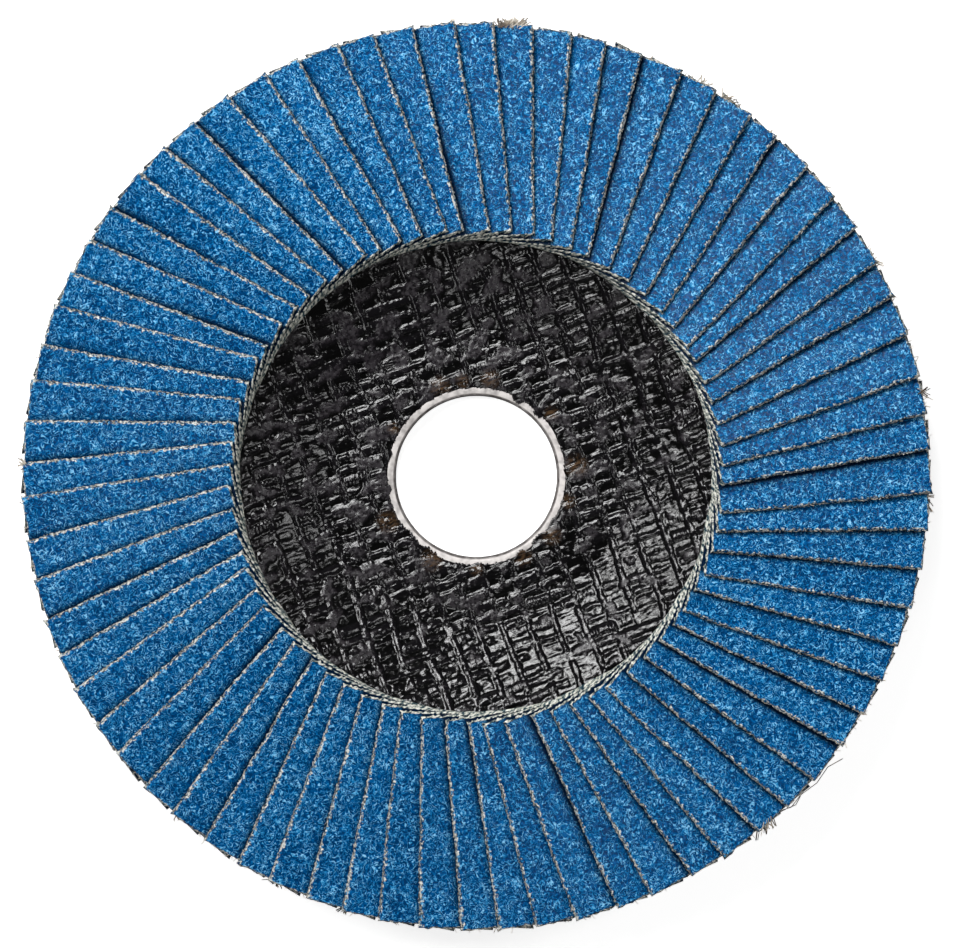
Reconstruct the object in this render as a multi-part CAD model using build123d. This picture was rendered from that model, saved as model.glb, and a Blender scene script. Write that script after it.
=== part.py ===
from build123d import *
import math
import os
import random

# Flap disc for an angle grinder, 125 x 22.23 mm: a ring of abrasive cloth flaps glued to a depressed-centre plate.
# Millimetres. +Z is the working side. The origin is on the bore's axis, at the face that the disc rests on.

# Whole disc
DISC_RADIUS = 62.5
BORE_RADIUS = 11.115

# Flaps of coated cloth, laid like roof tiles round the plate: each one's free edge lies over the next flap
FLAP_COUNT = 72
SET_COUNT = 24
FLAP_WIDTH = 15.0
FLAP_INNER_END = 32.75
FLAP_INNER_SLANT = 0.07
CLOTH_THICKNESS = 0.9
LAYER_STEP_INSIDE = 1.0
LAYER_STEP_OUTSIDE = 1.5
FLAP_SPANS = 4
FIRST_FLAP_ANGLE = 90.0

# Backing plate, pressed from glass net and resin
PLATE_RADIUS = 57.5
PLATE_THICKNESS = 2.7
HUB_RADIUS = 20.5
HUB_THICKNESS = 3.0
SHOULDER_RADIUS = 32.4
SHOULDER_HEIGHT = 7.6

# Glass net, standing out of the resin between square hollows, some of which the resin has filled
NET_TURN = 20.0
NET_DEPTH = 0.28
NET_PITCH = 3.7
NET_HOLLOW = 2.4
NET_INNER_RADIUS = 13.4
NET_OUTER_RADIUS = 32.0
NET_FILLED_SHARE = 0.26
NET_SEED = 5
BACK_NET_PITCH = 7.4
BACK_NET_HOLLOW = 6.0
BACK_NET_INNER_RADIUS = 33.4
BACK_NET_OUTER_RADIUS = 56.6

# Adhesive bed between the plate and the flaps
BED_INNER_RADIUS = 33.6
BED_OUTER_RADIUS = 56.0
BED_THICKNESS = 1.1
FLAP_SINK = 0.6
SEAT_MARGIN = 0.3

# Steel ring that lines the bore, flush with the plate on both faces
RING_SHEET = 0.5
RING_FLANGE_RADIUS = 17.0
RING_LIP_RADIUS = 12.3

# Worked out from the sizes above
flap_pitch = 360.0 / FLAP_COUNT
flap_half = FLAP_WIDTH / 2
flap_outer_end = math.sqrt(DISC_RADIUS**2 - flap_half**2)
slope_angle = math.atan2(SHOULDER_HEIGHT - HUB_THICKNESS, SHOULDER_RADIUS - HUB_RADIUS)
collar_radius = BORE_RADIUS + RING_SHEET
lip_seat = HUB_THICKNESS - RING_SHEET
bed_top = SHOULDER_HEIGHT + BED_THICKNESS
seat_height = bed_top - FLAP_SINK


def ring_profile(points):
    """Closed face in the XZ plane through (radius, height) points."""
    return make_face(Polyline([(radius, 0, height) for radius, height in points], close=True))


def outward_share(distance):
    """How far a distance along a flap lies between its inner end, 0, and its outer end, 1."""
    return (distance - FLAP_INNER_END) / (flap_outer_end - FLAP_INNER_END)


def flap_rise(distance):
    """How much higher a flap's free edge is than its buried edge, at a distance along the centreline.

    It is the number of layers under the free edge times their step. More layers overlap towards the
    axis, and the layers fan out a little towards the rim, so the flap is twisted along its length.
    """
    layers = 2 * math.degrees(math.atan2(flap_half, distance)) / flap_pitch
    return layers * (LAYER_STEP_INSIDE + outward_share(distance) * (LAYER_STEP_OUTSIDE - LAYER_STEP_INSIDE))


def flap_section(distance):
    """Section across a flap: square to it at the outer end, and slanted as the cut is at the inner end.

    The buried edge is low on the +Y side and the free edge high on the -Y side.
    """
    slant = FLAP_INNER_SLANT * (1 - outward_share(distance))
    rise = flap_rise(distance)
    tilt = math.atan2(rise, FLAP_WIDTH)
    lift_y = CLOTH_THICKNESS * math.sin(tilt)
    lift_z = CLOTH_THICKNESS * math.cos(tilt)
    underside = [(flap_half, seat_height), (-flap_half, seat_height + rise)]
    top = [(y + lift_y, z + lift_z) for y, z in reversed(underside)]
    return Wire.make_polygon([Vector(distance - slant * y, y, z) for y, z in underside + top])


def make_flap():
    """One flap with its centreline along +X, as ruled spans between equally spaced sections."""
    span = (flap_outer_end - FLAP_INNER_END) / FLAP_SPANS
    return Solid.make_loft([flap_section(FLAP_INNER_END + i * span) for i in range(FLAP_SPANS + 1)], ruled=True)


def repeat_round(shape):
    """A shape repeated once for each flap, clockwise as seen from the working side."""
    return [shape.rotate(Axis.Z, FIRST_FLAP_ANGLE - i * flap_pitch) for i in range(FLAP_COUNT)]


def plate_blank():
    """The plate without its net: flat hub, conical slope and flat rim."""
    offset_r = PLATE_THICKNESS * math.sin(slope_angle)
    offset_z = PLATE_THICKNESS * math.cos(slope_angle)
    rim_back = SHOULDER_HEIGHT - PLATE_THICKNESS
    back_r = HUB_RADIUS + offset_r
    back_z = HUB_THICKNESS - offset_z
    hub_back_radius = back_r - back_z / math.tan(slope_angle)
    rim_back_radius = back_r + (rim_back - back_z) / math.tan(slope_angle)
    profile = ring_profile(
        [
            (collar_radius, lip_seat),
            (RING_LIP_RADIUS, lip_seat),
            (RING_LIP_RADIUS, HUB_THICKNESS),
            (HUB_RADIUS, HUB_THICKNESS),
            (SHOULDER_RADIUS, SHOULDER_HEIGHT),
            (PLATE_RADIUS, SHOULDER_HEIGHT),
            (PLATE_RADIUS, rim_back),
            (rim_back_radius, rim_back),
            (hub_back_radius, 0),
            (RING_FLANGE_RADIUS, 0),
            (RING_FLANGE_RADIUS, RING_SHEET),
            (collar_radius, RING_SHEET),
        ]
    )
    return revolve(profile, Axis.Z)


def net_cells(pitch, hollow, inner_radius, outer_radius):
    """Centres of the net's hollows that lie whole between two radii, before the net is turned."""
    reach = hollow / math.sqrt(2)
    count = math.ceil(outer_radius / pitch)
    dice = random.Random(NET_SEED)
    for column in range(-count, count):
        for row in range(-count, count):
            x = (column + 0.5) * pitch
            y = (row + 0.5) * pitch
            filled = dice.random() < NET_FILLED_SHARE
            if not filled and inner_radius + reach < math.hypot(x, y) < outer_radius - reach:
                yield x, y


def front_hollow(x, y):
    """Block that presses one hollow into the hub or, tilted with it, into the slope."""
    radius = math.hypot(x, y)
    side = Vector(1, 0, 0)
    if radius < HUB_RADIUS + NET_HOLLOW / 3:
        seat = Plane((x, y, HUB_THICKNESS), x_dir=side, z_dir=(0, 0, 1))
    else:
        height = HUB_THICKNESS + (radius - HUB_RADIUS) * math.tan(slope_angle)
        inward = -math.sin(slope_angle) / radius
        normal = Vector(x * inward, y * inward, math.cos(slope_angle))
        seat = Plane((x, y, height), x_dir=side - normal * side.dot(normal), z_dir=normal)
    return seat * Box(NET_HOLLOW, NET_HOLLOW, 2 * NET_DEPTH)


def back_hollow(x, y):
    """Block that presses one hollow into the back of the rim."""
    return Pos(x, y, SHOULDER_HEIGHT - PLATE_THICKNESS) * Box(BACK_NET_HOLLOW, BACK_NET_HOLLOW, 2 * NET_DEPTH)


def make_plate():
    """The whole plate, with the net's hollows on the dish and on the back of the rim."""
    front_cells = net_cells(NET_PITCH, NET_HOLLOW, NET_INNER_RADIUS, NET_OUTER_RADIUS)
    back_cells = net_cells(BACK_NET_PITCH, BACK_NET_HOLLOW, BACK_NET_INNER_RADIUS, BACK_NET_OUTER_RADIUS)
    hollows = [front_hollow(x, y) for x, y in front_cells] + [back_hollow(x, y) for x, y in back_cells]
    turned = [hollow.rotate(Axis.Z, NET_TURN) for hollow in hollows]
    return plate_blank().cut(*turned)


def make_seat():
    """Wedge that presses one flap's seat into the bed, no steeper than the flap is anywhere."""
    slope = flap_rise(flap_outer_end) / FLAP_WIDTH
    wall = flap_half + SEAT_MARGIN
    mouth = flap_half - FLAP_SINK / slope
    corners = [(wall, seat_height - SEAT_MARGIN * slope), (wall, bed_top), (mouth, bed_top)]
    profile = make_face(Polyline([(BED_INNER_RADIUS / 2, y, z) for y, z in corners], close=True))
    return extrude(profile, DISC_RADIUS, dir=(1, 0, 0))


def make_bed():
    """Adhesive ring with one straight side and one seat for each flap's buried edge."""
    outline = RegularPolygon(BED_OUTER_RADIUS, FLAP_COUNT) - RegularPolygon(BED_INNER_RADIUS, FLAP_COUNT)
    ring = Pos(0, 0, SHOULDER_HEIGHT) * extrude(outline, BED_THICKNESS)
    return ring.cut(*repeat_round(make_seat()))


def make_bore_ring():
    """Steel ring: back flange, collar through the plate, and a narrow lip turned over on the front."""
    profile = ring_profile(
        [
            (BORE_RADIUS, 0),
            (RING_FLANGE_RADIUS, 0),
            (RING_FLANGE_RADIUS, RING_SHEET),
            (collar_radius, RING_SHEET),
            (collar_radius, lip_seat),
            (RING_LIP_RADIUS, lip_seat),
            (RING_LIP_RADIUS, HUB_THICKNESS),
            (BORE_RADIUS, HUB_THICKNESS),
        ]
    )
    return revolve(profile, Axis.Z)


def write_node(name, solids):
    """One STEP file for one node."""
    shape = solids[0] if len(solids) == 1 else Compound(children=solids)
    shape.label = name
    export_step(shape, f"parts/{name}.step")


if __name__ == "__main__":
    os.makedirs("parts", exist_ok=True)
    flaps = repeat_round(make_flap())
    write_node("backing_plate", [make_plate()])
    write_node("bore_ring", [make_bore_ring()])
    write_node("adhesive_bed", [make_bed()])
    for index in range(SET_COUNT):
        write_node(f"flap_set_{index + 1:02d}", flaps[index::SET_COUNT])
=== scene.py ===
import math
import random

import bmesh
import bpy
import numpy as np
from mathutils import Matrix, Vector, noise


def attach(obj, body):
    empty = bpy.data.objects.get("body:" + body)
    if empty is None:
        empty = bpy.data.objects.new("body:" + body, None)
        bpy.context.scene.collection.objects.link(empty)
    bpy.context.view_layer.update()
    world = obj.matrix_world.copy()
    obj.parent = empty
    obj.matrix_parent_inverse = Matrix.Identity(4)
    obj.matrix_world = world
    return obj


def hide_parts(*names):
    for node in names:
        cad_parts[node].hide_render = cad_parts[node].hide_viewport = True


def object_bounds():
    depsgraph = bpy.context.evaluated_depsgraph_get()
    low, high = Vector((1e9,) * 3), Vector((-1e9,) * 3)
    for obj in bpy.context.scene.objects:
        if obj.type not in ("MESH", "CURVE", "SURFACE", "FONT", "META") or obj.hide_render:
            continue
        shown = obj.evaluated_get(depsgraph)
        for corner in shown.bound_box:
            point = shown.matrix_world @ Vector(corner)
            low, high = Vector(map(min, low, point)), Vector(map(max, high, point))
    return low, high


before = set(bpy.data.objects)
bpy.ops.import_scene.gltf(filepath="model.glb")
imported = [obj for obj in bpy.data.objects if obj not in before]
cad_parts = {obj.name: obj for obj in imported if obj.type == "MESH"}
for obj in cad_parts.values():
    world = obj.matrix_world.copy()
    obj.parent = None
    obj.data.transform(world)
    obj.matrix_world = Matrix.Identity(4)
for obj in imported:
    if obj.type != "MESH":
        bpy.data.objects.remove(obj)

cad_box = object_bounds()

MM = 0.001

# Flaps, as in the part's source
FLAP_COUNT = 72
SET_COUNT = 24
DISC_RADIUS = 62.5 * MM
FLAP_WIDTH = 15.0 * MM
FLAP_INNER_END = 32.75 * MM
FLAP_INNER_SLANT = 0.07
CLOTH_THICKNESS = 0.9 * MM
LAYER_STEP_INSIDE = 1.0 * MM
LAYER_STEP_OUTSIDE = 1.5 * MM
SEAT_HEIGHT = 8.1 * MM
FIRST_FLAP_ANGLE = 90.0
FLAP_PITCH = 360.0 / FLAP_COUNT
FLAP_HALF = FLAP_WIDTH / 2
FLAP_OUTER_END = math.sqrt(DISC_RADIUS**2 - FLAP_HALF**2)

# How finely a flap is modelled: the strip that shows is fine, the part under the next flaps is coarse
STEPS_ALONG = 180
STEPS_SHOWN = 12
STEPS_HIDDEN = 2
SHOWN_MARGIN = 0.7 * MM
WALL_DEPTHS = (0.25, 0.62, 1.0)
WALL_BULGES = (0.08 * MM, 0.17 * MM, 0.10 * MM)
INNER_FRINGE = 1.2
INNER_BARE = 0.15 * MM
# Width of the painted shadow on the blue beside each seam, next to the neighbouring flap's free edge
SEAM_SHADOW_WIDTH = 2.0 * MM
GRAIN_ROOM = 0.07 * MM
GRAIN_SIZE = 0.46 * MM
GRAIN_HEIGHT = 0.05 * MM

# How unevenly the flaps are cut and laid: spreads in mm, and the most that a free edge may be off its line
EDGE_SHIFT = 0.26
EDGE_SKEW = 0.22
EDGE_LIMIT = 0.5 * MM
END_SHIFT = 0.10

# Loose fibres
FIBRE_RADIUS = 0.045 * MM
FIBRES_PER_EDGE = 44
FRAYED_FROM, FRAYED_TO = 15, 80
TUFT_HEIGHTS = (10, 13)
THREAD_HEIGHT = 11.5 * MM

# Plate, as in the part's source
BORE_RADIUS = 11.115 * MM
HUB_RADIUS = 20.5 * MM
HUB_THICKNESS = 3.0 * MM
SHOULDER_RADIUS = 32.4 * MM
SHOULDER_HEIGHT = 7.6 * MM
PLATE_RADIUS = 57.5 * MM
PLATE_THICKNESS = 2.7 * MM
RING_SHEET = 0.5 * MM
RING_FLANGE_RADIUS = 17.0 * MM
RING_LIP_RADIUS = 12.3 * MM
RIM_BACK = SHOULDER_HEIGHT - PLATE_THICKNESS
SLOPE = math.atan2(SHOULDER_HEIGHT - HUB_THICKNESS, SHOULDER_RADIUS - HUB_RADIUS)

# Glass net under the resin
NET_TURN = math.radians(20.0)
NET_STEP = 0.2 * MM
WARP_PITCH = 3.6 * MM
WEFT_PITCH = 1.73 * MM
NET_RELIEF = 0.5 * MM
NET_INSIDE = 12.15 * MM
NET_OUTSIDE = 34.0 * MM
BACK_NET_STEP = 0.38 * MM
BACK_NET_RELIEF = 0.32 * MM
BACK_NET_SEAT = 0.5 * MM
BACK_NET_INSIDE = 17.4 * MM
BACK_NET_OUTSIDE = 57.0 * MM
SKIN_LIFT = 0.04 * MM
SKIN_DEPTH = 0.3 * MM
BACK_SKIN_DEPTH = 0.8 * MM

# Rolled edge of the ring, painted dark: partly resin residue, partly painted shade in the curl
ROLLED_OUTSIDE = 11.55 * MM
ROLLED_INSIDE = 11.42 * MM

# Angle in degrees between faces at which an edge stays sharp
CREASE = 40

# White surroundings: light of the world, glow of the table, and the table's size
WORLD_LIGHT = 0.05
FLOOR_GLOW = 0.72
FLOOR_SIZE = 4.0
FLOOR_GAP = 0.0005 * MM

# Camera: height, and the widths in pixels of the render and of the disc in it
CAMERA_HEIGHT = 3.0
RENDER_WIDTH = 954
DISC_PIXELS = 908


def add_node(tree, kind, inputs=None, **settings):
    """Adds a shader node with its settings, and its inputs as links or values."""
    made = tree.nodes.new(kind)
    for name, value in settings.items():
        setattr(made, name, value)
    for socket, value in (inputs or {}).items():
        if isinstance(value, bpy.types.NodeSocket):
            tree.links.new(value, made.inputs[socket])
        else:
            made.inputs[socket].default_value = value
    return made


def blank_material(name):
    """A material with a bare Principled shader: (material, tree, shader)."""
    material = bpy.data.materials.new(name)
    material.use_nodes = True
    tree = material.node_tree
    return material, tree, tree.nodes["Principled BSDF"]


def mix(tree, factor, first, second):
    """Colour mix: first where factor is 0, second where it is 1."""
    return add_node(
        tree, "ShaderNodeMix", {0: factor, 6: first, 7: second}, data_type="RGBA"
    ).outputs[2]


def math_node(tree, operation, first, second=0.0, third=0.0, clamp=False):
    """One Math node's output."""
    return add_node(
        tree, "ShaderNodeMath", {0: first, 1: second, 2: third}, operation=operation, use_clamp=clamp
    ).outputs[0]


def ramp(tree, factor, stops):
    """Colour ramp through (position, colour) stops."""
    made = add_node(tree, "ShaderNodeValToRGB", {0: factor})
    elements = made.color_ramp.elements
    while len(elements) < len(stops):
        elements.new(0.5)
    for element, (position, colour) in zip(elements, stops):
        element.position = position
        element.color = (*colour, 1)
    return made.outputs[0]


def spread(tree, value, low, high, to_low=0.0, to_high=1.0):
    """Map Range with clamping."""
    return add_node(
        tree, "ShaderNodeMapRange", {0: value, 1: low, 2: high, 3: to_low, 4: to_high}
    ).outputs[0]


def attribute(tree, name):
    """A float attribute of the mesh."""
    return add_node(tree, "ShaderNodeAttribute", attribute_name=name).outputs["Fac"]


def object_coordinates(tree):
    """The place on a piece, in metres."""
    return add_node(tree, "ShaderNodeTexCoord").outputs["Object"]


def noise_texture(tree, vector, scale, detail=2.0, roughness=0.5, distortion=0.0):
    """One Noise Texture's value."""
    inputs = {"Vector": vector, "Scale": scale, "Detail": detail, "Roughness": roughness}
    return add_node(tree, "ShaderNodeTexNoise", {**inputs, "Distortion": distortion}).outputs[0]


def add_bump(tree, shader, height, strength, distance):
    """Bump on a shader, where a height of 1 stands for the distance."""
    bump = add_node(tree, "ShaderNodeBump", {"Strength": strength, "Distance": distance, "Height": height})
    tree.links.new(bump.outputs[0], shader.inputs["Normal"])


def make_abrasive():
    """Blue grain in resin on the top of a flap, with light ridge lines that are partly painted glints and a
    painted shadow beside each seam; pale yarns where the cloth is cut or bare, darker towards the underside
    from glue and painted shade.
    """
    material, tree, shader = blank_material("abrasive_cloth")
    place = object_coordinates(tree)
    wander = noise_texture(tree, place, 1150, 1.0, 0.6, distortion=1.6)
    from_middle = math_node(tree, "ABSOLUTE", math_node(tree, "SUBTRACT", wander, 0.5))
    ridge = spread(tree, from_middle, 0.075, 0.0)
    pits = noise_texture(tree, place, 2400, 1.0)
    glint = noise_texture(tree, place, 700, 2.0, 0.6)
    patches = noise_texture(tree, place, 90, 3.0)
    # The light ridge lines are partly the grain's own light blue, partly painted glints that stand in for
    # its reflections; the specular level stays low
    level = math_node(tree, "MULTIPLY", ridge, spread(tree, glint, 0.35, 0.62, 0.60, 0.92))
    level = math_node(tree, "ADD", level, spread(tree, pits, 0.32, 0.68, 0.07, 0.37))
    level = math_node(tree, "SUBTRACT", level, math_node(tree, "MULTIPLY", attribute(tree, "shade"), 0.06))
    level = math_node(tree, "SUBTRACT", level, spread(tree, patches, 0.35, 0.7, 0.0, 0.06))
    # The top stops are the painted glint colour
    grain = ramp(
        tree,
        level,
        [
            (0.10, (0.0004, 0.033, 0.115)),
            (0.26, (0.0006, 0.086, 0.270)),
            (0.48, (0.0010, 0.128, 0.365)),
            (0.66, (0.0100, 0.215, 0.495)),
            (0.80, (0.0900, 0.395, 0.690)),
            (0.96, (0.2700, 0.590, 0.860)),
        ],
    )

    uv = add_node(tree, "ShaderNodeUVMap", uv_map="cloth").outputs[0]
    yarn = noise_texture(tree, uv, 2300, 1.0)
    tuft = noise_texture(tree, place, 2100, 2.0, 0.6)
    threads = math_node(tree, "MULTIPLY_ADD", yarn, 0.6, math_node(tree, "MULTIPLY", tuft, 0.4))
    worn = noise_texture(tree, place, 300, 2.0)
    dusty = math_node(tree, "SUBTRACT", threads, spread(tree, worn, 0.40, 0.65, -0.015, 0.045))
    cut_colour = ramp(
        tree,
        dusty,
        [
            (0.40, (0.004, 0.016, 0.030)),
            (0.45, (0.060, 0.090, 0.100)),
            (0.50, (0.290, 0.295, 0.265)),
            (0.56, (0.760, 0.760, 0.710)),
        ],
    )
    fringe_colour = ramp(
        tree,
        threads,
        [
            (0.40, (0.010, 0.045, 0.070)),
            (0.45, (0.120, 0.180, 0.190)),
            (0.50, (0.520, 0.530, 0.460)),
            (0.56, (0.950, 0.950, 0.870)),
        ],
    )
    bare = attribute(tree, "bare")
    beige = mix(tree, spread(tree, bare, 0.95, 1.1), cut_colour, fringe_colour)
    # Darker towards the bottom of the cut walls and on the underside: partly glue, partly painted shade
    glue_and_shade = mix(tree, spread(tree, bare, 1.3, 2.0), beige, (0.012, 0.012, 0.013, 1))
    ragged = math_node(tree, "ADD", bare, math_node(tree, "MULTIPLY_ADD", tuft, 1.6, -0.8))
    cut = spread(tree, ragged, 0.40, 0.55)
    # Painted shadow: the blue is darkened beside each seam, where the neighbouring flap's free edge stands
    # above it
    shadow = spread(tree, attribute(tree, "seam_shadow"), 0.0, 0.8, 0.0, 0.97)
    grain = mix(tree, shadow, grain, (0.0003, 0.007, 0.026, 1))
    tree.links.new(mix(tree, cut, grain, glue_and_shade), shader.inputs["Base Color"])
    tree.links.new(spread(tree, cut, 0, 1, 0.22, 0.85), shader.inputs["Roughness"])
    shader.inputs["Specular IOR Level"].default_value = 0.05
    lumps = math_node(tree, "MULTIPLY_ADD", pits, 0.8, math_node(tree, "MULTIPLY", ridge, 0.7))
    height = math_node(tree, "MULTIPLY_ADD", math_node(tree, "MULTIPLY", cut, tuft), 1.2, lumps)
    add_bump(tree, shader, height, 1.0, 0.09 * MM)
    return material


def make_fibre():
    """Single cotton fibres that have come out of a cut edge."""
    material, tree, shader = blank_material("fibre")
    place = object_coordinates(tree)
    patchy = noise_texture(tree, place, 420, 2.0)
    colour = ramp(
        tree, patchy, [(0.36, (0.10, 0.07, 0.05)), (0.5, (0.42, 0.36, 0.28)), (0.66, (0.75, 0.70, 0.62))]
    )
    tree.links.new(colour, shader.inputs["Base Color"])
    shader.inputs["Roughness"].default_value = 0.8
    shader.inputs["Sheen Weight"].default_value = 0.3
    return material


def make_scorched_fibre():
    """Brown-black fibres, burnt where the cloth was cut."""
    material, tree, shader = blank_material("scorched_fibre")
    burnt = noise_texture(tree, object_coordinates(tree), 500, 2.0)
    colour = ramp(tree, burnt, [(0.4, (0.006, 0.006, 0.008)), (0.65, (0.10, 0.06, 0.035))])
    tree.links.new(colour, shader.inputs["Base Color"])
    shader.inputs["Roughness"].default_value = 0.7
    return material


def make_resin():
    """Black resin over glass net: glossy on the yarns, painted near black in the gaps as shade, dull where
    it lies thick.
    """
    material, tree, shader = blank_material("pressed_plate")
    place = object_coordinates(tree)
    gap = attribute(tree, "gap")
    dull = attribute(tree, "dull")
    stain = attribute(tree, "stain")
    turned = add_node(tree, "ShaderNodeMapping", {"Vector": place, "Rotation": (0, 0, -NET_TURN)})
    along_weft = add_node(
        tree, "ShaderNodeVectorMath", {0: turned.outputs[0], 1: (0.22, 1, 1)}, operation="MULTIPLY"
    )
    streak = noise_texture(tree, along_weft.outputs[0], 3400, 3.0, 0.6)
    speckle = noise_texture(tree, place, 2600, 3.0, 0.65)
    thick = math_node(tree, "MULTIPLY", dull, spread(tree, speckle, 0.38, 0.62, 0.1, 1.3))
    black = mix(tree, thick, (0.0035, 0.003, 0.004, 1), (0.016, 0.0125, 0.0165, 1))
    # Painted shade: the resin is made near black down in the net's gaps
    black = mix(tree, gap, black, (0.0002, 0.0002, 0.0002, 1))
    rusty = math_node(tree, "MULTIPLY", stain, spread(tree, streak, 0.40, 0.62), clamp=True)
    tree.links.new(mix(tree, rusty, black, (0.11, 0.062, 0.030, 1)), shader.inputs["Base Color"])
    tree.links.new(spread(tree, thick, 0, 1, 0.15, 0.40), shader.inputs["Roughness"])
    shader.inputs["Specular IOR Level"].default_value = 0.52
    height = mix(tree, dull, streak, speckle)
    add_bump(tree, shader, height, spread(tree, dull, 0, 1, 0.55, 1.0), 0.08 * MM)
    return material


def make_adhesive():
    """Cured adhesive, brown-black with a soft gloss."""
    material, tree, shader = blank_material("adhesive")
    place = object_coordinates(tree)
    cloud = noise_texture(tree, place, 350, 4.0)
    colour = ramp(tree, cloud, [(0.3, (0.03, 0.02, 0.014)), (0.7, (0.13, 0.095, 0.065))])
    tree.links.new(colour, shader.inputs["Base Color"])
    tree.links.new(spread(tree, cloud, 0.3, 0.7, 0.3, 0.6), shader.inputs["Roughness"])
    add_bump(tree, shader, cloud, 0.7, 0.3 * MM)
    return material


def make_steel():
    """Satin sheet steel, dark and not metal where its edge is rolled: partly resin residue, partly painted
    shade.
    """
    material, tree, shader = blank_material("ring_steel")
    place = object_coordinates(tree)
    flat = add_node(tree, "ShaderNodeVectorMath", {0: place, 1: (1, 1, 0)}, operation="MULTIPLY").outputs[0]
    radius = add_node(tree, "ShaderNodeVectorMath", {0: flat}, operation="LENGTH").outputs["Value"]
    drawn = add_node(tree, "ShaderNodeMapping", {"Vector": place, "Scale": (1, 1, 0.1)}).outputs[0]
    scratches = noise_texture(tree, drawn, 1400, 3.0)
    clean = ramp(tree, scratches, [(0.3, (0.56, 0.53, 0.515)), (0.6, (0.74, 0.705, 0.685))])
    residue_and_shade_blotches = noise_texture(tree, place, 900, 3.0, 0.6)
    # Painted shade with residue: the curl at the bore is made dark and not metal, in blotches
    near_bore = spread(tree, radius, ROLLED_OUTSIDE, ROLLED_INSIDE)
    rolled = math_node(tree, "MULTIPLY", near_bore, spread(tree, residue_and_shade_blotches, 0.25, 0.6, 0.55, 1.0))
    tree.links.new(mix(tree, rolled, clean, (0.045, 0.035, 0.032, 1)), shader.inputs["Base Color"])
    tree.links.new(spread(tree, rolled, 0, 1, 0.85, 0.0), shader.inputs["Metallic"])
    tree.links.new(spread(tree, scratches, 0.3, 0.7, 0.42, 0.58), shader.inputs["Roughness"])
    add_bump(tree, shader, scratches, 0.25, 0.03 * MM)
    return material


def add_piece(name, mesh, material):
    """Links a finished mesh as a piece of the disc."""
    piece = bpy.data.objects.new(name, mesh)
    bpy.context.scene.collection.objects.link(piece)
    mesh.materials.append(material)
    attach(piece, "root")
    return piece


def ripple(seed, position, scale):
    """Smooth noise from -1 to 1 along a line, different for each seed."""
    return noise.noise(Vector((position / scale, seed * 7.31, seed * 1.7)))


def flap_blank():
    """Flat grid with walls and a closed back.

    Each vertex knows its place along, across and into the cloth.
    """
    bm = bmesh.new()
    bmesh.ops.create_grid(bm, x_segments=STEPS_ALONG, y_segments=STEPS_SHOWN + STEPS_HIDDEN, size=0.5)
    along = bm.verts.layers.float.new("along")
    across = bm.verts.layers.float.new("across")
    depth = bm.verts.layers.float.new("depth")
    bulge = bm.verts.layers.float.new("bulge")
    for vert in bm.verts:
        vert[along] = vert.co.x + 0.5
        vert[across] = vert.co.y + 0.5
    rim = [edge for edge in bm.edges if edge.is_boundary]
    for wall_depth, wall_bulge in zip(WALL_DEPTHS, WALL_BULGES):
        made = bmesh.ops.extrude_edge_only(bm, edges=rim)["geom"]
        for vert in made:
            if isinstance(vert, bmesh.types.BMVert):
                vert[depth] = wall_depth
                vert[bulge] = wall_bulge
                vert.co.z = -wall_depth * 0.1
        rim = [edge for edge in made if isinstance(edge, bmesh.types.BMEdge) and edge.is_boundary]
    bmesh.ops.contextual_create(bm, geom=rim)
    bmesh.ops.recalc_face_normals(bm, faces=bm.faces)
    mesh = bpy.data.meshes.new("flap_blank")
    bm.to_mesh(mesh)
    bm.free()
    return mesh


def read_layer(mesh, name):
    """A float attribute's values, one for each vertex."""
    values = np.zeros(len(mesh.vertices), np.float32)
    mesh.attributes[name].data.foreach_get("value", values)
    return values.astype(float)


def flap_surface(distance, y, height):
    """Points in the flap's own frame: at a distance along it, y across it, and height above its underside.

    The free edge is higher than the buried one, as in the part's source.
    """
    outward = (distance - FLAP_INNER_END) / (FLAP_OUTER_END - FLAP_INNER_END)
    layers = 2 * np.degrees(np.arctan2(FLAP_HALF, distance)) / FLAP_PITCH
    rise = layers * (LAYER_STEP_INSIDE + outward * (LAYER_STEP_OUTSIDE - LAYER_STEP_INSIDE))
    slant = FLAP_INNER_SLANT * np.clip(1 - outward, 0, 1)
    tilt = np.arctan2(rise, FLAP_WIDTH)
    base = SEAT_HEIGHT + (FLAP_HALF - y) / FLAP_WIDTH * rise
    return np.stack(
        [distance - slant * y, y + height * np.sin(tilt), base + height * np.cos(tilt)], axis=1
    )


def turn(points, angle):
    """Points turned about the disc's axis by an angle in degrees."""
    c, s = math.cos(math.radians(angle)), math.sin(math.radians(angle))
    return points @ np.array([[c, s, 0], [-s, c, 0], [0, 0, 1]])


def grain_heights(points, seed):
    """Height of the grain at each point: rounded lumps, each a grain or two."""
    heights = np.zeros(len(points))
    for index, (x, y, z) in enumerate(points / GRAIN_SIZE):
        distances, _ = noise.voronoi(Vector((x + seed * 3.7, y, z)))
        heights[index] = 1 - 1.5 * distances[0]
    return heights


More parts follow.
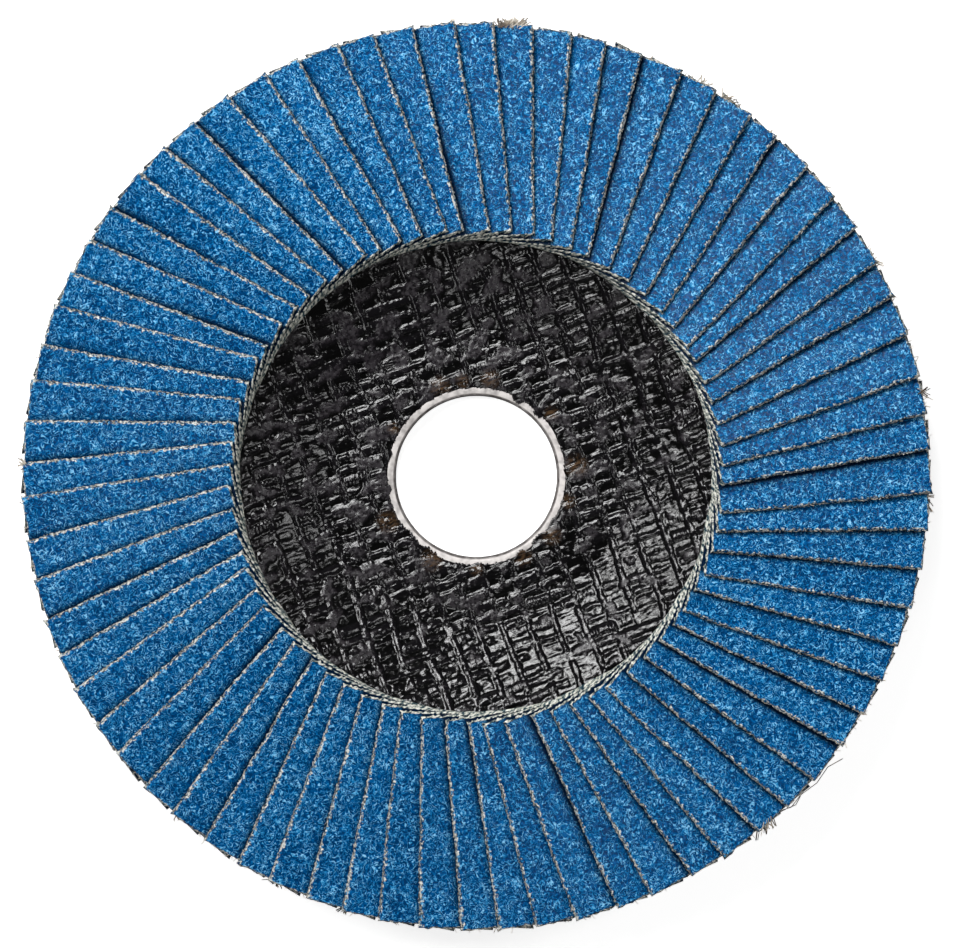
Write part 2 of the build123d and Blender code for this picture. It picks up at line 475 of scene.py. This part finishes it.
class Flap:
    """One flap's own cut: where its free edge lies and how ragged and wavy it is."""

    def __init__(self, index, dice):
        self.index = index
        self.angle = FIRST_FLAP_ANGLE - index * FLAP_PITCH
        self.shift = dice.gauss(0, EDGE_SHIFT) * MM
        self.skew = dice.gauss(0, EDGE_SKEW) * MM
        self.shade = dice.random()
        self.inset = dice.gauss(0, END_SHIFT) * MM
        self.outset = dice.gauss(0, END_SHIFT) * MM

    def edge_shift(self, along):
        """How far the free edge lies from its nominal line, to the clockwise side where negative."""
        slow = np.array([ripple(self.index + 0.5, a, 0.21) for a in along])
        middle = np.array([ripple(self.index + 9.5, a, 0.035) for a in along])
        quick = np.array([ripple(self.index + 20.5, a, 0.012) for a in along])
        drift = self.shift + self.skew * (along - 0.5) * 2
        return np.clip(drift, -EDGE_LIMIT, EDGE_LIMIT) + (0.12 * slow + 0.10 * middle + 0.08 * quick) * MM

    def shape(self, blank):
        """Vertex positions, and the values that its material reads."""
        along, across, depth, bulge = (blank[key] for key in ("along", "across", "depth", "bulge"))
        distance = FLAP_INNER_END + along * (FLAP_OUTER_END - FLAP_INNER_END)
        shown = STEPS_SHOWN / (STEPS_SHOWN + STEPS_HIDDEN)
        strip = distance * math.tan(math.radians(FLAP_PITCH)) + SHOWN_MARGIN
        near = np.minimum(across / shown, 1) * strip
        far = np.maximum(across - shown, 0) / (1 - shown) * (FLAP_WIDTH - strip)
        fade = np.clip(1 - near / strip, 0, 1) * (across < shown)
        y = -FLAP_HALF + near + far + self.edge_shift(along) * fade
        at_inner, at_outer = along < 0.0001, along > 0.9999
        at_free, at_buried = across < 0.0001, across > 0.9999
        outward_x = at_outer.astype(float) - at_inner
        outward_y = at_buried.astype(float) - at_free
        tuft = np.array(
            [
                noise.noise(Vector((a * 130 + self.index * 5.3, c * 62, d * 2.2)))
                for a, c, d in zip(along, across, depth)
            ]
        )
        fringe = np.where(outward_x < 0, INNER_FRINGE, 1.0)
        out = bulge * fringe * (1 + 1.7 * tuft)
        ends = np.array([ripple(self.index + 40.5, c, 0.06) for c in across]) * 0.10 * MM
        ends = ends + tuft * 0.05 * MM
        distance = distance + outward_x * out
        distance = distance + np.where(along > 0.5, (along - 0.5) * (self.outset + ends), 0)
        distance = distance + np.where(along < 0.5, (along - 0.5) * (self.inset + ends), 0)
        y = y + outward_y * out
        waver = np.array([ripple(self.index + 60.5, a, 0.3) for a in along]) * 0.05 * MM
        height = (CLOTH_THICKNESS - GRAIN_ROOM) * (1 - depth) + waver * (1 - across)
        points = flap_surface(distance, y, height)
        on_top = (depth == 0) & (across <= shown + 0.05)
        lumps = np.zeros(len(along))
        lumps[on_top] = grain_heights(points[on_top], self.index)
        points[:, 2] += np.clip(lumps, -0.6, 1) * GRAIN_HEIGHT
        at_edge = at_free | at_inner | at_outer
        bare = np.where(depth > 0, np.where(depth < 0.5, 0.52, 0.80), np.where(at_edge, 0.46, 0.0))
        bare = np.where((depth > 0) & at_inner, 1.15, bare)
        fringe = np.clip(1.0 - along * (FLAP_OUTER_END - FLAP_INNER_END) / INNER_BARE, 0, 1)
        bare = np.maximum(bare, np.where(depth == 0, fringe, 0))
        # Bottom of the walls and the underside: 1.8 darkens them, partly as glue, partly as painted shade
        bare = np.where(depth > 0.9, 1.8, bare)
        # Painted shadow: 1 right beside the neighbouring flap's free edge, fading over the shadow's width
        seam_shadow = np.clip(1 - (strip - SHOWN_MARGIN - near) / SEAM_SHADOW_WIDTH, 0, 1) ** 3
        uv = np.stack([distance, y - depth * CLOTH_THICKNESS], axis=1)
        return turn(points, self.angle), bare, seam_shadow, uv


def make_flap_sets(material):
    """Twenty-four pieces of three flaps each, one for each node of the model."""
    blank_mesh = flap_blank()
    blank = {name: read_layer(blank_mesh, name) for name in ("along", "across", "depth", "bulge")}
    dice = random.Random(11)
    flaps = [Flap(index, dice) for index in range(FLAP_COUNT)]
    count = len(blank_mesh.vertices)
    for set_index in range(SET_COUNT):
        members = flaps[set_index::SET_COUNT]
        bm = bmesh.new()
        for _ in members:
            bm.from_mesh(blank_mesh)
        mesh = bpy.data.meshes.new(f"flaps_{set_index + 1:02d}")
        bm.to_mesh(mesh)
        bm.free()
        for name in ("along", "across", "depth", "bulge"):
            mesh.attributes.remove(mesh.attributes[name])
        shapes = [flap.shape(blank) for flap in members]
        points = np.concatenate([shape[0] for shape in shapes])
        mesh.vertices.foreach_set("co", points.astype(np.float32).ravel())
        # bare picks the yarn colours; the second value is the painted seam shadow
        for name, part in (("bare", 1), ("seam_shadow", 2)):
            values = np.concatenate([shape[part] for shape in shapes]).astype(np.float32)
            mesh.attributes.new(name, "FLOAT", "POINT").data.foreach_set("value", values)
        shades = np.repeat([flap.shade for flap in members], count).astype(np.float32)
        mesh.attributes.new("shade", "FLOAT", "POINT").data.foreach_set("value", shades)
        corners = np.zeros(len(mesh.loops), np.int32)
        mesh.loops.foreach_get("vertex_index", corners)
        uv = mesh.uv_layers.new(name="cloth")
        uv.uv.foreach_set(
            "vector", np.concatenate([shape[3] for shape in shapes])[corners].astype(np.float32).ravel()
        )
        mesh.shade_smooth()
        mesh.update()
        piece = add_piece(mesh.name, mesh, material)
        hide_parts(f"flap_set_{set_index + 1:02d}")
    bpy.data.meshes.remove(blank_mesh)
    return flaps


def spin_profile(profile, segments, bevels=()):
    """Closed ring from a closed (radius, height) outline, with some of its corners rounded."""
    bm = bmesh.new()
    verts = [bm.verts.new((radius, 0, height)) for radius, height in profile]
    edges = [bm.edges.new((verts[i - 1], verts[i])) for i in range(len(verts))]
    bmesh.ops.spin(
        bm,
        geom=verts + edges,
        cent=(0, 0, 0),
        axis=(0, 0, 1),
        angle=2 * math.pi,
        steps=segments,
        use_merge=True,
    )
    bmesh.ops.remove_doubles(bm, verts=bm.verts, dist=1e-7)
    for (radius, height), size, rounds in bevels:
        loop = [
            edge
            for edge in bm.edges
            if all(abs(v.co.z - height) < 1e-6 and abs(v.co.xy.length - radius) < 1e-6 for v in edge.verts)
        ]
        bmesh.ops.bevel(
            bm, geom=loop, offset=size, segments=rounds, profile=0.5, affect="EDGES", material=-1
        )
    bmesh.ops.recalc_face_normals(bm, faces=bm.faces)
    return bm


def to_mesh(name, bm):
    """Smooth mesh with its creases kept sharp."""
    mesh = bpy.data.meshes.new(name)
    bm.to_mesh(mesh)
    bm.free()
    mesh.shade_smooth()
    mesh.set_sharp_from_angle(angle=math.radians(CREASE))
    return mesh


def make_ring(material):
    """Steel ring: its lip rolls over into the bore."""
    profile = [
        (BORE_RADIUS + 0.22 * MM, RING_SHEET),
        (BORE_RADIUS, RING_SHEET),
        (BORE_RADIUS, 0),
        (RING_FLANGE_RADIUS, 0),
        (RING_FLANGE_RADIUS, RING_SHEET),
        (BORE_RADIUS + RING_SHEET, RING_SHEET),
        (BORE_RADIUS + RING_SHEET, HUB_THICKNESS - RING_SHEET),
        (RING_LIP_RADIUS, HUB_THICKNESS - RING_SHEET),
        (RING_LIP_RADIUS, HUB_THICKNESS),
        (BORE_RADIUS + 0.12 * MM, HUB_THICKNESS),
    ]
    bevels = [
        ((BORE_RADIUS + 0.12 * MM, HUB_THICKNESS), 0.26 * MM, 4),
        ((BORE_RADIUS, 0), 0.12 * MM, 2),
        ((RING_FLANGE_RADIUS, 0), 0.12 * MM, 2),
    ]
    mesh = to_mesh("bore_ring_steel", spin_profile(profile, 192, bevels))
    piece = add_piece("bore_ring_steel", mesh, material)
    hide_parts("bore_ring")


def front_height(radius):
    """Height of the plate's front at a radius."""
    slope = HUB_THICKNESS + (radius - HUB_RADIUS) * math.tan(SLOPE)
    return min(max(HUB_THICKNESS, slope), SHOULDER_HEIGHT)


def back_corners():
    """Radii at which the plate's back turns from hub to slope, and from slope to rim."""
    back_r = HUB_RADIUS + PLATE_THICKNESS * math.sin(SLOPE)
    back_z = HUB_THICKNESS - PLATE_THICKNESS * math.cos(SLOPE)
    return back_r - back_z / math.tan(SLOPE), back_r + (RIM_BACK - back_z) / math.tan(SLOPE)


def back_height(radius):
    """Height of the plate's back at a radius, with its two corners rounded."""
    hub_end = back_corners()[0]
    slope = [(radius + shift * MM - hub_end) * math.tan(SLOPE) for shift in (-1.2, -0.4, 0.4, 1.2)]
    return sum(min(max(height, 0), RIM_BACK) for height in slope) / len(slope)


def make_plate_body(material):
    """Pressed plate: hub, slope and rim as one shell, with soft edges and a seat for the back's skin."""
    hub_end, slope_end = back_corners()
    profile = [
        (RING_LIP_RADIUS, HUB_THICKNESS - 0.02 * MM),
        (HUB_RADIUS, HUB_THICKNESS - 0.02 * MM),
        (SHOULDER_RADIUS, SHOULDER_HEIGHT - 0.02 * MM),
        (PLATE_RADIUS, SHOULDER_HEIGHT),
        (PLATE_RADIUS, RIM_BACK),
        (BACK_NET_OUTSIDE, RIM_BACK),
        (BACK_NET_OUTSIDE, RIM_BACK + BACK_NET_SEAT),
        (slope_end, RIM_BACK + BACK_NET_SEAT),
        (hub_end, BACK_NET_SEAT),
        (BACK_NET_INSIDE, BACK_NET_SEAT),
        (BACK_NET_INSIDE, 0),
        (RING_FLANGE_RADIUS, 0),
        (RING_FLANGE_RADIUS, RING_SHEET),
        (BORE_RADIUS + RING_SHEET, RING_SHEET),
        (BORE_RADIUS + RING_SHEET, HUB_THICKNESS - RING_SHEET),
        (RING_LIP_RADIUS, HUB_THICKNESS - RING_SHEET),
    ]
    bevels = [
        ((PLATE_RADIUS, SHOULDER_HEIGHT), 0.25 * MM, 2),
        ((PLATE_RADIUS, RIM_BACK), 0.4 * MM, 3),
    ]
    mesh = to_mesh("plate_body", spin_profile(profile, 240, bevels))
    piece = add_piece("plate_body", mesh, material)
    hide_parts("backing_plate")


def net_height(x, y, resin):
    """Relief of the resin over the net at a place in the net's own axes, more of it filled with more resin.

    Returns the height from 0 in the gaps to about 1 on the yarns, how deep in a gap the place is,
    and how much of it is dull, where the resin has filled the gaps.
    """
    x = x + 0.6 * MM * noise.noise(Vector((x / (8 * MM), y / (8 * MM), 0.3)))
    y = y + 0.5 * MM * noise.noise(Vector((x / (6 * MM), y / (6 * MM), 4.1)))
    x = x + 0.12 * MM * noise.noise(Vector((x / (1.1 * MM), y / (1.1 * MM), 5.3)))
    y = y + 0.16 * MM * noise.noise(Vector((x / (1.3 * MM), y / (1.1 * MM), 7.7)))
    column = x / WARP_PITCH
    row = y / WEFT_PITCH
    cell = (math.floor(column) + 0.5, round(row) + 0.5)
    luck, tilt, ribs = (noise.cell(Vector((*cell, layer))) for layer in (3.5, 9.5, 15.5))
    from_warp = (column - round(column)) * WARP_PITCH
    from_weft = (row - round(row)) * WEFT_PITCH + 0.25 * MM * (luck - 0.5)
    under = noise.cell(Vector((round(column) + 0.5, round(row) + 0.5, 21.5))) > 0.5
    beside = 1 if under else min(max((abs(from_warp) - 0.40 * MM) / (0.30 * MM), 0), 1)
    half_width = (0.52 + 0.16 * beside + 0.24 * (tilt - 0.5)) * MM
    weft = max(1 - (from_weft / half_width) ** 2, 0) ** 0.5
    along = (column - math.floor(column) - 0.5) * 2
    crossing = math.cos(2 * math.pi * along * WARP_PITCH / (1.1 * MM) + 6 * luck)
    strands = math.cos(2 * math.pi * from_weft / (0.44 * MM) + 6 * luck)
    ribbed = 0.30 * crossing if ribs > 0.7 else 0.12 * strands
    slot = min(max(abs(along - (2 * noise.cell(Vector((*cell, 27.5))) - 1)) / 0.14, 0.25), 1)
    tall = 0.72 + 0.42 * (luck - 0.5) + 0.34 * (tilt - 0.5) * along + ribbed
    weft = weft * (slot if ribs < 0.4 else 1) * tall * (0.35 + 0.65 * beside)
    twist = math.cos(2 * math.pi * (from_warp / (0.40 * MM) + 0.6 * math.sin(y / (0.75 * MM))))
    swell = 0.5 + 0.5 * math.cos(2 * math.pi * row)
    warp = max(1 - (from_warp / (0.42 * MM)) ** 2, 0) ** 0.5 * (0.62 + 0.20 * twist + 0.16 * swell)
    warp *= 0.45 if under else 1
    film = noise.noise(Vector((x / (2.6 * MM), y / (1.9 * MM), 8.8)))
    film += 0.35 * noise.noise(Vector((x / (0.8 * MM), y / (0.7 * MM), 1.8)))
    filled = min(max(film * 3.5 - 0.5 + resin, 0), 1)
    rough = noise.noise(Vector((x / (0.42 * MM), y / (0.42 * MM), 2.2)))
    lump = noise.noise(Vector((x / (1.0 * MM), y / (0.8 * MM), 6.2)))
    yarn = max(weft, warp)
    height = yarn * (1 - 0.75 * filled) + (0.52 + 0.16 * rough) * filled
    height += 0.22 * lump * (1 - filled) + 0.14 * rough
    gap = min(max(1 - 2.4 * yarn, 0), 1) * (1 - filled)
    return height, gap, filled


def ragged_inside(angle):
    """Radius at which the resin ends round the bore, at an angle in radians."""
    spot = Vector((math.cos(angle) * 9, math.sin(angle) * 9, 1.5))
    teeth = noise.noise(spot * 1.6) * 0.26 + noise.noise(spot * 5.0) * 0.16
    radius = NET_INSIDE + teeth * MM
    for clock, half_width, reach in RESIN_TONGUES:
        away = abs((90 - clock - math.degrees(angle) + 180) % 360 - 180)
        if away < half_width:
            radius -= reach * MM * (1 - (away / half_width) ** 2)
    return max(radius, BORE_RADIUS + 0.35 * MM)


# Tongues of resin that lie over the ring: (clock angle, half width in degrees, reach in mm)
RESIN_TONGUES = (
    (28, 4.5, 1.0),
    (44, 4.0, 0.55),
    (122, 5, 0.45),
    (136, 7, 0.6),
    (150, 5, 0.5),
    (179, 4, 0.3),
    (212, 9, 0.45),
    (228, 8, 0.4),
    (262, 4, 0.3),
    (283, 3, 0.3),
)

# Rusty places on the resin near the bore: (clock angle, radius in mm, size in mm)
RUST_SPOTS = (
    (8, 13.6, 1.6),
    (338, 13.4, 1.7),
    (352, 13.3, 1.2),
    (84, 13.9, 1.9),
    (105, 13.2, 1.3),
    (128, 13.2, 1.6),
    (150, 12.9, 1.5),
    (180, 12.9, 1.1),
    (208, 13.1, 1.8),
    (243, 13.8, 1.9),
    (50, 13.5, 1.2),
    (300, 13.3, 1.0),
)


def draw_down(bm, edges, radius, height):
    """Extrudes a closed loop to another height, and to a radius if one is given. Returns the new loop."""
    made = bmesh.ops.extrude_edge_only(bm, edges=edges)["geom"]
    for vert in made:
        if isinstance(vert, bmesh.types.BMVert):
            if radius:
                vert.co.xy = vert.co.xy.normalized() * radius
            vert.co.z = height
    return [edge for edge in made if isinstance(edge, bmesh.types.BMEdge) and edge.is_boundary]


def net_grid(step, inside, outside):
    """Flat grid in the net's own axes between two radii; the inner one is a function of the true angle."""
    steps = math.ceil(2 * outside / step)
    bm = bmesh.new()
    bmesh.ops.create_grid(bm, x_segments=steps, y_segments=steps, size=outside)
    beyond = [v for v in bm.verts if v.co.xy.length > outside]
    bmesh.ops.delete(bm, geom=beyond, context="VERTS")
    within = [v for v in bm.verts if v.co.xy.length < inside(math.atan2(v.co.y, v.co.x) + NET_TURN)]
    bmesh.ops.delete(bm, geom=within, context="VERTS")
    return bm


def lay_net(bm, place):
    """Turns the grid to its true direction, with each vertex's height and values from place()."""
    layers = [bm.verts.layers.float.new(name) for name in ("gap", "dull", "stain")]
    for vert in bm.verts:
        x, y = vert.co.x, vert.co.y
        vert.co.x = x * math.cos(NET_TURN) - y * math.sin(NET_TURN)
        vert.co.y = x * math.sin(NET_TURN) + y * math.cos(NET_TURN)
        vert.co.z, *values = place(x, y, vert.co)
        for layer, value in zip(layers, values):
            vert[layer] = value


def rim_loops(bm, middle):
    """The grid's inner and outer boundary."""
    rim = [edge for edge in bm.edges if edge.is_boundary]
    inner = [edge for edge in rim if edge.verts[0].co.xy.length < middle]
    return inner, [edge for edge in rim if edge.verts[0].co.xy.length >= middle]


def finish_net(name, bm, loops, material):
    """Closes the skin between two loops and adds it as a piece."""
    bmesh.ops.triangle_fill(bm, use_beauty=True, edges=loops)
    bmesh.ops.recalc_face_normals(bm, faces=bm.faces)
    mesh = bpy.data.meshes.new(name)
    bm.to_mesh(mesh)
    bm.free()
    mesh.shade_smooth()
    add_piece(name, mesh, material)


def make_front_net(material):
    """Resin skin with the net's relief over the hub and slope, closed underneath."""
    spots = [
        (Vector((math.sin(math.radians(c)) * r, math.cos(math.radians(c)) * r)) * MM, size * MM)
        for c, r, size in RUST_SPOTS
    ]

    def place(x, y, point):
        radius = math.hypot(x, y)
        flat = min(max((HUB_RADIUS - radius) / (3 * MM), 0), 1)
        relief, gap, dull = net_height(x, y, 0.6 * (0.91 * y - 0.42 * x) / NET_OUTSIDE + 0.3 * flat)
        settle = min(max((radius - NET_INSIDE) / (0.9 * MM), 0.25), 1)
        height = front_height(radius) + SKIN_LIFT + NET_RELIEF * max(relief, -0.05) * settle
        stain = max(max(1 - (point.xy - spot).length / size, 0) for spot, size in spots)
        return height, gap, dull, stain

    bm = net_grid(NET_STEP, ragged_inside, NET_OUTSIDE)
    lay_net(bm, place)
    inner, outer = rim_loops(bm, HUB_RADIUS)
    inner = draw_down(bm, inner, None, HUB_THICKNESS - 0.01 * MM)
    for radius, height in (
        (None, SHOULDER_HEIGHT - SKIN_DEPTH),
        (HUB_RADIUS + 0.5 * MM, HUB_THICKNESS - SKIN_DEPTH),
        (HUB_RADIUS - 4 * MM, HUB_THICKNESS - SKIN_DEPTH),
    ):
        outer = draw_down(bm, outer, radius, height)
    finish_net("resin_front", bm, inner + outer, material)


def make_back_net(material):
    """Skin with the net's relief over the plate's back, set into the body and flush with its rim."""

    def place(x, y, point):
        relief, gap, dull = net_height(x + 300 * MM, y, 0.25)
        lift = BACK_NET_RELIEF * (1 - min(max(relief, 0), 1))
        # The back's gaps get a weaker painted shade (0.6 of it)
        return back_height(math.hypot(x, y)) + SKIN_LIFT + lift, 0.6 * gap, dull, 0

    bm = net_grid(BACK_NET_STEP, lambda angle: BACK_NET_INSIDE + BACK_NET_STEP / 2, BACK_NET_OUTSIDE)
    lay_net(bm, place)
    inner, outer = rim_loops(bm, SHOULDER_RADIUS)
    for loop, radius in ((inner, BACK_NET_INSIDE), (outer, BACK_NET_OUTSIDE)):
        for vert in {vert for edge in loop for vert in edge.verts}:
            vert.co.xy = vert.co.xy.normalized() * radius
            vert.co.z = back_height(radius) + 0.1 * MM
    hub_end, slope_end = back_corners()
    inner = draw_down(bm, inner, None, BACK_SKIN_DEPTH)
    for radius, height in (
        (None, RIM_BACK + BACK_SKIN_DEPTH),
        (slope_end, RIM_BACK + BACK_SKIN_DEPTH),
        (hub_end, BACK_SKIN_DEPTH),
    ):
        outer = draw_down(bm, outer, radius, height)
    finish_net("resin_back", bm, inner + outer, material)


# Tufts that stand out of the rim: (clock angle, half width in degrees, fibres, length in mm)
TUFTS = (
    (4.0, 1.3, 60, 0.8),
    (5.2, 0.5, 16, 1.2),
    (-3.7, 0.4, 6, 0.7),
    (29.6, 0.6, 9, 1.1),
    (33.4, 0.5, 7, 0.9),
    (61.0, 0.5, 5, 0.9),
    (79.0, 0.4, 6, 1.3),
    (92.8, 0.5, 7, 0.8),
    (139.5, 0.9, 12, 1.0),
    (271.3, 0.4, 6, 0.7),
)

# Scorched bits on the rim: (clock angle, half width in degrees, fibres, length in mm)
SCORCHED_TUFTS = (
    (79.4, 0.2, 3, 1.5),
    (141.0, 0.3, 5, 0.9),
    (206.2, 0.5, 8, 0.5),
    (196.8, 0.4, 6, 0.5),
)

# Long scorched threads that lie along the rim: (clock angle, radius in mm) points
SCORCHED_THREADS = (
    ((137.6, 62.3), (136.4, 62.9), (134.5, 62.6), (132.0, 63.1), (129.6, 62.8), (127.6, 63.7)),
    ((138.4, 62.2), (137.0, 62.6), (135.8, 63.1), (134.6, 62.7)),
    ((36.0, 62.2), (34.6, 63.0), (33.8, 62.7)),
)


def rim_place(clock, radius, height):
    """A point by its clock angle, radius and height."""
    angle = math.radians(clock)
    return (radius * math.sin(angle), radius * math.cos(angle), height)


def rim_tufts(tufts, dice):
    """Short bent fibres round each tuft's place on the rim: (points, thickness) each."""
    strands = []
    for clock, half_width, count, length in tufts:
        for _ in range(count):
            at = clock + dice.uniform(-half_width, half_width)
            reach = length * dice.uniform(0.4, 1.0) * MM
            lean = dice.uniform(-1.0, 1.6)
            height = dice.uniform(*TUFT_HEIGHTS) * MM
            root = 0.6 * MM
            points = [
                rim_place(at + share * lean, DISC_RADIUS - root + share * (reach + root), height)
                for share in (0, 0.45, 0.75, 1)
            ]
            strands.append((points, dice.uniform(0.9, 2.2)))
    return strands


def edge_fibres(flaps, dice):
    """Loose fibres along the free edge and the outer end of each flap: (points, thickness) each."""
    strands = []
    for flap in flaps:
        paths = []
        for _ in range(FIBRES_PER_EDGE):
            along = dice.random()
            shift = float(flap.edge_shift(np.array([along]))[0])
            distance = FLAP_INNER_END + along * (FLAP_OUTER_END - FLAP_INNER_END)
            lean = dice.uniform(-1, 1)
            length = dice.uniform(0.25, 0.75) * MM
            height = dice.uniform(0.35, 0.62) * MM
            tip = height + dice.uniform(0, 0.3) * MM
            start = -FLAP_HALF + shift
            paths.append(
                [
                    (distance, start + 0.25 * MM, height),
                    (distance + 0.25 * lean * length, start - 0.25 * length, height + 0.05 * MM),
                    (distance + 0.9 * lean * length, start - 0.45 * length, tip),
                ]
            )
        clock = flap.index * FLAP_PITCH
        frayed = 6 if FRAYED_FROM < clock < FRAYED_TO else 2
        for _ in range(dice.randint(frayed - 1, frayed + 3)):
            y = dice.uniform(-FLAP_HALF, -FLAP_HALF + 5.5 * MM)
            length = dice.uniform(0.2, 0.8) * MM
            side = dice.uniform(-0.8, 0.8) * length
            paths.append(
                [
                    (FLAP_OUTER_END - 0.3 * MM, y, 0.5 * MM),
                    (FLAP_OUTER_END + 0.4 * length, y + 0.3 * side, 0.5 * MM),
                    (FLAP_OUTER_END + length, y + side, 0.6 * MM),
                ]
            )
        for path in paths:
            distance, y, height = np.array(path).T
            strands.append((turn(flap_surface(distance, y, height), flap.angle), dice.uniform(0.7, 1.4)))
    return strands


def add_strands(name, strands, material):
    """One piece of many thin threads."""
    curve = bpy.data.curves.new(name, "CURVE")
    curve.dimensions = "3D"
    curve.bevel_depth = FIBRE_RADIUS
    curve.bevel_resolution = 0
    curve.use_fill_caps = True
    for points, thickness in strands:
        spline = curve.splines.new("POLY")
        spline.points.add(len(points) - 1)
        for place, point in zip(spline.points, points):
            place.co = (*point, 1)
            place.radius = thickness
    holder = bpy.data.objects.new(name + "_curve", curve)
    bpy.context.scene.collection.objects.link(holder)
    bpy.context.view_layer.update()
    mesh = bpy.data.meshes.new_from_object(holder.evaluated_get(bpy.context.evaluated_depsgraph_get()))
    mesh.name = name
    bpy.data.objects.remove(holder)
    mesh.materials.clear()
    add_piece(name, mesh, material)


def make_fibres(flaps, pale, scorched):
    """Fibres and tufts that have come out of the cloth, and a few burnt by the cutting."""
    dice = random.Random(23)
    add_strands("frayed_fibres", edge_fibres(flaps, dice) + rim_tufts(TUFTS, dice), pale)
    threads = [
        ([rim_place(clock, radius * MM, THREAD_HEIGHT) for clock, radius in thread], 1.3)
        for thread in SCORCHED_THREADS
    ]
    add_strands("scorched_fibres", threads + rim_tufts(SCORCHED_TUFTS, dice), scorched)


def make_floor():
    """White table that keeps the disc's shadow but shows white where it is lit."""
    bm = bmesh.new()
    bmesh.ops.create_grid(bm, x_segments=1, y_segments=1, size=FLOOR_SIZE)
    mesh = bpy.data.meshes.new("floor")
    bm.to_mesh(mesh)
    bm.free()
    floor = bpy.data.objects.new("floor", mesh)
    bpy.context.scene.collection.objects.link(floor)
    floor.location.z = cad_box[0][2] - FLOOR_GAP
    material, tree, shader = blank_material("floor_white")
    shader.inputs["Base Color"].default_value = (0.9, 0.9, 0.9, 1)
    shader.inputs["Roughness"].default_value = 0.9
    shader.inputs["Specular IOR Level"].default_value = 0.0
    rays = add_node(tree, "ShaderNodeLightPath")
    seen = math_node(tree, "MAXIMUM", rays.outputs["Is Camera Ray"], rays.outputs["Is Transmission Ray"])
    strength = math_node(tree, "MULTIPLY", seen, FLOOR_GLOW)
    glow = add_node(tree, "ShaderNodeEmission", {"Color": (1, 1, 1, 1), "Strength": strength})
    both = add_node(tree, "ShaderNodeAddShader", {0: shader.outputs[0], 1: glow.outputs[0]})
    tree.links.new(both.outputs[0], tree.nodes["Material Output"].inputs["Surface"])
    mesh.materials.append(material)


def area_light(name, place, aim, size, energy):
    """Soft rectangular light at a place, pointing at another."""
    data = bpy.data.lights.new(name, "AREA")
    data.shape = "RECTANGLE"
    data.size, data.size_y = size
    data.energy = energy
    light = bpy.data.objects.new(name, data)
    bpy.context.scene.collection.objects.link(light)
    light.location = place
    light.rotation_euler = (Vector(aim) - Vector(place)).to_track_quat("-Z", "Y").to_euler()


# Lamps round the disc, one side stronger than the rest: (name, clock angle, distance out, size, watts)
LAMP_HEIGHT = 0.42
LAMPS = (
    ("key", -22, 0.32, (0.28, 0.16), 2.5),
    ("left", -72, 0.31, (0.14, 0.14), 0.8),
    ("right", 80, 0.36, (0.12, 0.20), 0.5),
    ("near", 190, 0.38, (0.20, 0.12), 0.45),
)


def make_lights():
    """White surroundings that are bright to the camera and dim as a light, and the lamps."""
    world = bpy.data.worlds.new("studio")
    bpy.context.scene.world = world
    world.use_nodes = True
    tree = world.node_tree
    background = tree.nodes["Background"]
    background.inputs["Color"].default_value = (1, 1, 1, 1)
    seen = add_node(tree, "ShaderNodeLightPath").outputs["Is Camera Ray"]
    strength = math_node(tree, "MULTIPLY_ADD", seen, 1 - WORLD_LIGHT, WORLD_LIGHT)
    tree.links.new(strength, background.inputs["Strength"])
    for name, clock, away, size, energy in LAMPS:
        turned = math.radians(clock)
        place = (math.sin(turned) * away, math.cos(turned) * away, LAMP_HEIGHT)
        area_light(name, place, (0, 0, 0.01), size, energy)


def make_camera():
    """Looks straight down at the working side."""
    data = bpy.data.cameras.new("camera")
    data.sensor_fit = "HORIZONTAL"
    data.sensor_width = 36.0
    span = RENDER_WIDTH / DISC_PIXELS * 2 * DISC_RADIUS
    data.lens = data.sensor_width * (CAMERA_HEIGHT - 13 * MM) / span
    data.clip_start = 0.01
    data.clip_end = 20
    camera = bpy.data.objects.new("camera", data)
    bpy.context.scene.collection.objects.link(camera)
    pixel = span / RENDER_WIDTH
    camera.location = (0.6 * pixel, 2.4 * pixel, CAMERA_HEIGHT)
    bpy.context.scene.camera = camera


abrasive = make_abrasive()
resin = make_resin()
steel = make_steel()
adhesive = make_adhesive()
flaps = make_flap_sets(abrasive)
make_fibres(flaps, make_fibre(), make_scorched_fibre())
make_plate_body(resin)
make_front_net(resin)
make_back_net(resin)
make_ring(steel)
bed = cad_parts["adhesive_bed"]
bed.data.materials.clear()
bed.data.materials.append(adhesive)
make_floor()
make_lights()
make_camera()
bpy.context.scene.view_settings.view_transform = "Standard"
